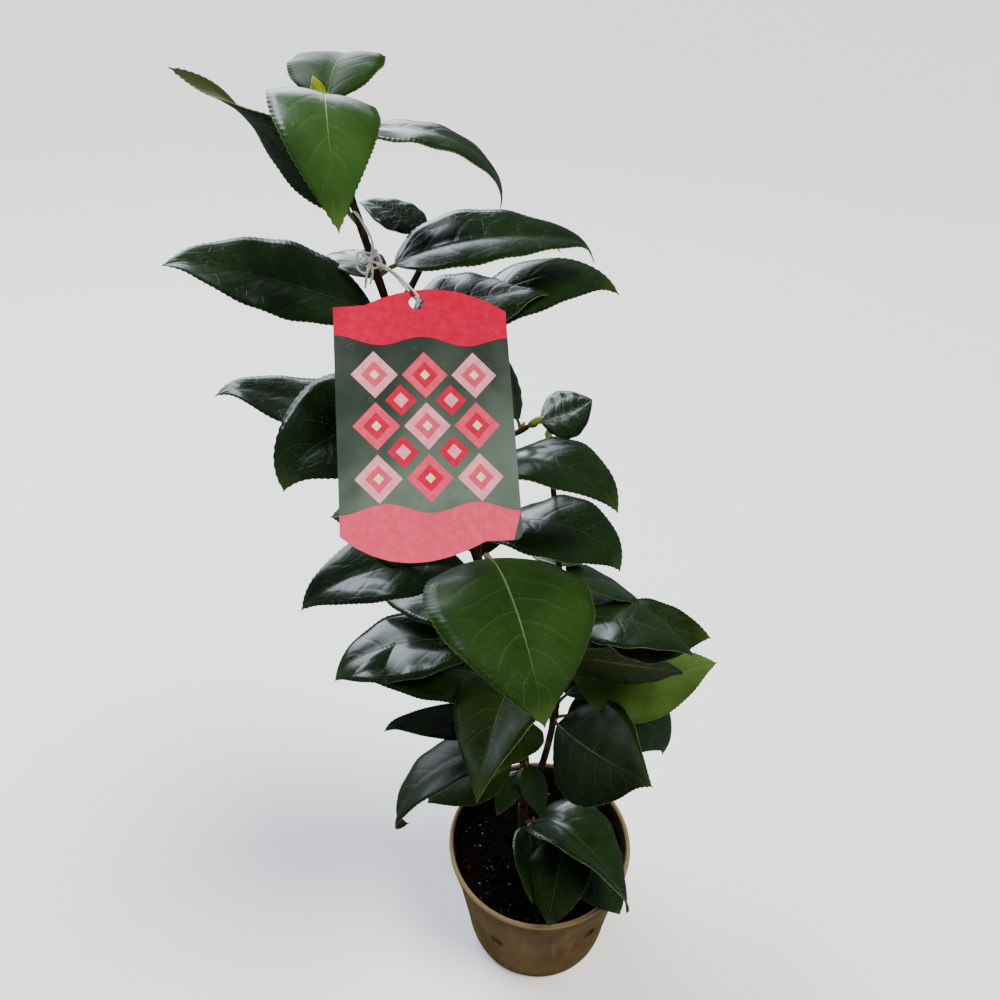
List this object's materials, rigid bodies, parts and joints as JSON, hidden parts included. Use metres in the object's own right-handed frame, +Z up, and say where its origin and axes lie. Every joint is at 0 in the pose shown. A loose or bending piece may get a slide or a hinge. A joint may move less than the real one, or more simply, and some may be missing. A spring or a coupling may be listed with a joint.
{
  "type": "camellia shrub in a nursery pot",
  "caption": "Young evergreen shrub with glossy pointed leaves on slender shoots, in a round tapered plastic nursery pot with a plant label tied to its leader.",
  "frame": {"origin": "centre of the pot's flat underside", "axes": "+Z up along the stem, +X towards the plant's right seen from the front, -Y towards the front where the label hangs"},
  "size_m": [0.2211, 0.1905, 0.4727],
  "materials": {
    "pot": "matte",
    "compost": "matte",
    "bark": "matte",
    "foliage": "gloss",
    "label": "satin",
    "tie": "matte"
  },
  "bodies": {
    "root": {"pot": "pot", "compost": "compost", "trunk": "bark", "leader": "bark", "right_shoot": "bark", "leaves_lower": "foliage", "leaves_middle": "foliage", "leaves_upper": "foliage", "leaves_crown": "foliage", "leaves_upper_twig": "foliage", "leaves_middle_twig": "foliage", "leaves_front": "foliage", "leaves_right_lower": "foliage", "leaves_right_upper": "foliage", "leaves_low": "foliage", "label": "label", "label_tie": "tie"}
  },
  "joints": []
}
